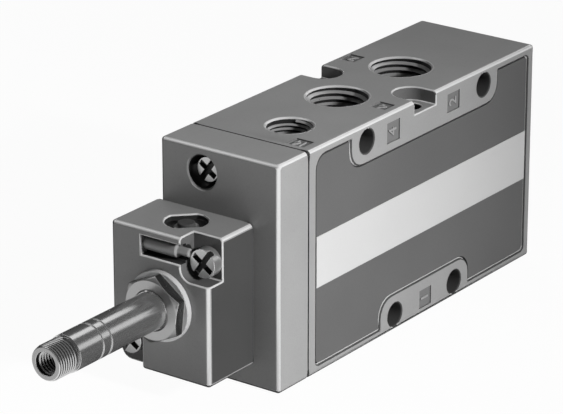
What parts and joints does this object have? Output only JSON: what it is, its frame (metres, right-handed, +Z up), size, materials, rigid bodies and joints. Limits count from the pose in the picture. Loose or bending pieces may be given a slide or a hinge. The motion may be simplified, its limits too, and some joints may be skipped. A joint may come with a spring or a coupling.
{
  "type": "pneumatic solenoid valve",
  "caption": "Air valve with a spool body, threaded ports on top and underneath, a pilot cap, a pilot block with manual override, and an armature tube for a coil.",
  "frame": {"origin": "middle of the valve body's underside, halfway along the body and on its mid-plane", "axes": "+X along the spool away from the armature tube, +Z up from the underside towards ports 2, 4 and 14, -Y towards the side that the picture shows"},
  "size_m": [0.1469, 0.0312, 0.05],
  "materials": {
    "cast_aluminium": "fine sand-cast and tumbled, satin",
    "block_aluminium": "satin, a little darker than the body",
    "dark_panel": "matte dark grey foil",
    "light_band": "smooth light grey foil",
    "plated_steel": "bright zinc plate",
    "turned_steel": "turned stainless steel",
    "dark_steel": "steel, oiled and dark",
    "spring_steel": "drawn wire",
    "button_plastic": "moulded, matte",
    "piston_plastic": "natural acetal",
    "seal_rubber": "black nitrile",
    "brass": "machined"
  },
  "bodies": {
    "valve": {"valve_body": "cast_aluminium", "side_panels": "dark_panel", "band_strips": "light_band", "cap_gasket": "seal_rubber", "pilot_cap": "cast_aluminium", "cap_screws": "plated_steel", "pilot_block": "block_aluminium", "block_seals": "seal_rubber", "block_screws": "plated_steel", "stepped_pin": "dark_steel", "override_bush": "dark_steel", "override_spring": "spring_steel", "tube_washer": "plated_steel", "tube_nut": "plated_steel", "armature_tube": "turned_steel", "tube_seal": "seal_rubber", "fixed_core": "turned_steel", "armature_spring": "spring_steel", "pilot_nozzle": "brass", "spool_seals": "seal_rubber", "seal_spacers": "brass", "return_spring": "spring_steel", "end_plug": "block_aluminium", "plug_seal": "seal_rubber", "retaining_ring": "spring_steel"},
    "spool": {"spool": "turned_steel", "pilot_piston": "piston_plastic", "piston_seal": "seal_rubber"},
    "armature": {"armature": "turned_steel", "armature_seal": "seal_rubber"},
    "button": {"override_button": "button_plastic", "override_seal": "seal_rubber"}
  },
  "joints": [
    {"name": "spool_slide", "type": "slide", "parent": "valve", "child": "spool", "axis": [1, 0, 0], "range_m": [0, 0.004], "stiffness_N_per_m": 1500, "springref_m": -0.004, "deforming": ["return_spring"]},
    {"name": "armature_slide", "type": "slide", "parent": "valve", "child": "armature", "axis": [-1, 0, 0], "range_m": [0, 0.0008], "stiffness_N_per_m": 900, "springref_m": -0.002, "deforming": ["armature_spring"]},
    {"name": "button_press", "type": "slide", "parent": "valve", "child": "button", "axis": [0, 0, -1], "range_m": [0, 0.0012], "stiffness_N_per_m": 1500, "springref_m": -0.001, "deforming": ["override_spring"]}
  ]
}
